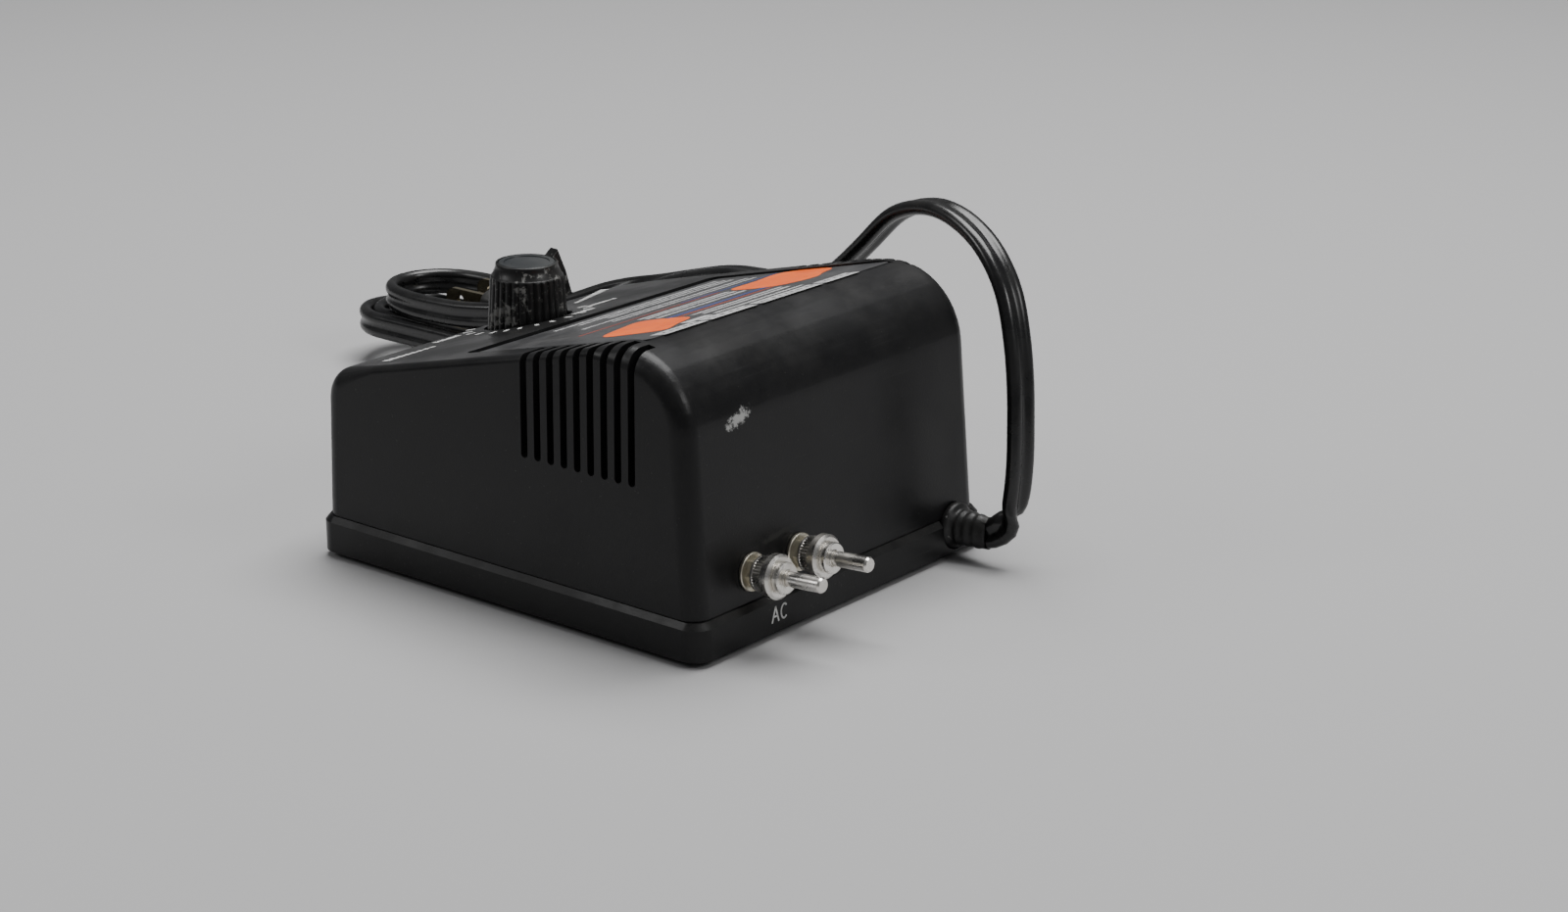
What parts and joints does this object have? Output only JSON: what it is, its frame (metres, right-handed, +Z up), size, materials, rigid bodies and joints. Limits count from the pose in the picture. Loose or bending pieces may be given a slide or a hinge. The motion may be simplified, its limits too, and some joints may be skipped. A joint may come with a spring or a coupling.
{
  "type": "train set controller",
  "caption": "wedge-shaped transformer controller for a model railway: a ribbed speed knob on the sloping panel, two screw terminals at the rear and a flat mains lead with a two-blade plug",
  "frame": {"origin": "middle of the box round the controller and its terminal posts, on the surface it stands on", "axes": "+Z up, -Y the low front with the knob, +Y the rear wall with the terminals, +X to the right of a person facing the knob"},
  "size_m": [0.1536, 0.2624, 0.0822],
  "materials": {
    "cover_plastic": "satin moulded ABS, fine grain",
    "tray_plastic": "satin moulded ABS",
    "foot_rubber": "soft matt",
    "zinc_steel": "zinc plated",
    "label_film": "printed film, satin",
    "knob_plastic": "moulded, worn flutes",
    "cap_plastic": "soft sheen",
    "shaft_metal": "turned",
    "contact_brass": "stamped",
    "phenolic": "moulded phenolic",
    "track_carbon": "carbon film",
    "tinned_brass": "tinned, slightly tarnished",
    "nickel": "nickel plated, worn",
    "zinc_sheet": "zinc plated sheet",
    "core_steel": "varnished laminations",
    "bobbin_nylon": "natural nylon",
    "enamel_copper": "enamelled copper",
    "tape_yellow": "polyester tape",
    "fuse_ceramic": "glazed",
    "board_phenolic": "paper phenolic",
    "sink_aluminium": "extruded",
    "black_epoxy": "moulded epoxy",
    "capacitor_red": "dipped",
    "resistor_ceramic": "lacquered",
    "breaker_plastic": "moulded",
    "wire_black": "PVC",
    "wire_white": "PVC",
    "wire_red": "PVC",
    "wire_yellow": "PVC",
    "wire_blue": "PVC",
    "relief_pvc": "soft PVC, scuffed rim",
    "cord_pvc": "smooth PVC, semi-gloss",
    "tie_nylon": "nylon",
    "plug_pvc": "moulded PVC",
    "blade_brass": "nickel washed"
  },
  "bodies": {
    "root": {"top_cover": "cover_plastic", "base_tray": "tray_plastic", "rubber_feet": "foot_rubber", "cover_screws": "zinc_steel", "label_plate": "label_film", "control_body": "phenolic", "resistance_track": "track_carbon", "control_lugs": "tinned_brass", "control_washer": "zinc_steel", "control_nut": "nickel", "control_bracket": "zinc_sheet", "bracket_screws": "zinc_steel", "transformer_core": "core_steel", "transformer_bobbin": "bobbin_nylon", "primary_winding": "enamel_copper", "secondary_winding": "enamel_copper", "winding_tape": "tape_yellow", "transformer_frame": "zinc_sheet", "transformer_screws": "zinc_steel", "thermal_fuse": "fuse_ceramic", "circuit_board": "board_phenolic", "board_screws": "zinc_steel", "heat_sink": "sink_aluminium", "triac": "black_epoxy", "film_capacitor": "capacitor_red", "choke_coil": "enamel_copper", "resistors": "resistor_ceramic", "circuit_breaker": "breaker_plastic", "mains_wires": "wire_black", "primary_wires": "wire_white", "secondary_wires": "wire_red", "control_wires": "wire_yellow", "output_wires": "wire_blue", "terminal_post_1": "nickel", "terminal_post_2": "nickel", "terminal_washers": "tinned_brass", "terminal_nuts": "tinned_brass", "solder_lugs": "tinned_brass", "strain_relief": "relief_pvc", "mains_cord": "cord_pvc", "cord_hank": "cord_pvc", "cord_tie": "tie_nylon", "plug_body": "plug_pvc", "plug_blades": "blade_brass"},
    "knob": {"control_knob": "knob_plastic", "knob_cap": "cap_plastic", "control_shaft": "shaft_metal", "wiper_arm": "contact_brass"},
    "clamp_1": {"clamp_washer_1": "nickel"},
    "nut_1": {"thumb_nut_1": "nickel"},
    "clamp_2": {"clamp_washer_2": "nickel"},
    "nut_2": {"thumb_nut_2": "nickel"}
  },
  "joints": [
    {"name": "knob_turn", "type": "hinge", "parent": "root", "child": "knob", "pos_m": [0, -0.04977, 0.05], "axis": [0, 0, -1], "range_deg": [0, 270]},
    {"name": "clamp_1_travel", "type": "slide", "parent": "root", "child": "clamp_1", "axis": [0, 0.9973, 0.0732], "range_m": [-0.0004, 0.0042]},
    {"name": "nut_1_turn", "type": "hinge", "parent": "clamp_1", "child": "nut_1", "pos_m": [0.0165, 0.0555, 0.01794], "axis": [0, 0.9973, 0.0732], "range_deg": [-240, 2250]},
    {"name": "clamp_2_travel", "type": "slide", "parent": "root", "child": "clamp_2", "axis": [0, 0.9973, 0.0732], "range_m": [-0.0004, 0.0042]},
    {"name": "nut_2_turn", "type": "hinge", "parent": "clamp_2", "child": "nut_2", "pos_m": [0.0333, 0.0555, 0.01794], "axis": [0, 0.9973, 0.0732], "range_deg": [-240, 2250]}
  ],
  "couplings": [
    {"joint": "nut_1_turn", "follows": "clamp_1_travel", "rad_per_m": 8976},
    {"joint": "nut_2_turn", "follows": "clamp_2_travel", "rad_per_m": 8976}
  ]
}
